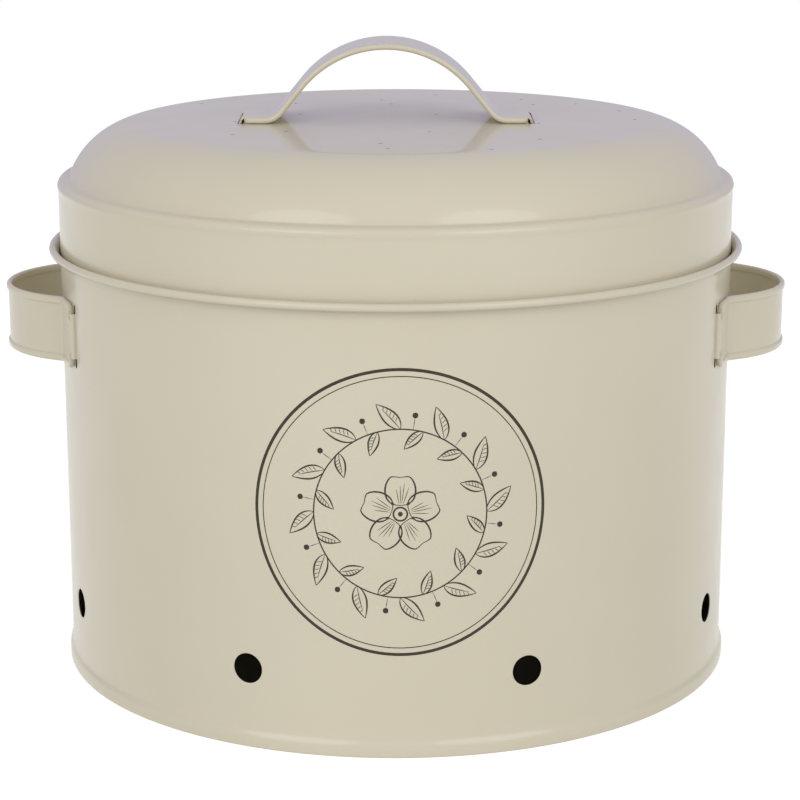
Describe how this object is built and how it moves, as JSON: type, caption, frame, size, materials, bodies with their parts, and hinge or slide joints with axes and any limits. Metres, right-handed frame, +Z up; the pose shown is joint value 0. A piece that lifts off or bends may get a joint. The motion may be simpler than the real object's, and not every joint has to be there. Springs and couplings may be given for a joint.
{
  "type": "round steel storage bin with lift-off lid",
  "caption": "Round powder-coated steel storage bin with a flared rolled rim, vent holes, strap side handles and a lift-off domed lid.",
  "frame": {"origin": "middle of the bin at the table, under its folded foot", "axes": "+Z up, side handles on -X and +X, front faces -Y"},
  "size_m": [0.3164, 0.2788, 0.25],
  "materials": {
    "cream_coat": "gloss cream powder coat on steel sheet",
    "bare_wire": "drawn steel wire",
    "printed_ink": "dark brown printed ornament on the front"
  },
  "bodies": {
    "bin": {"body_wall": "cream_coat", "base_panel": "cream_coat", "rim_wire": "bare_wire", "side_handle_left": "cream_coat", "side_handle_right": "cream_coat"},
    "lid": {"lid_shell": "cream_coat", "lid_handle": "cream_coat"}
  },
  "joints": [
    {"name": "lid_lift", "type": "slide", "parent": "bin", "child": "lid", "axis": [0, 0, 1], "range_m": [0, 0.12]}
  ]
}
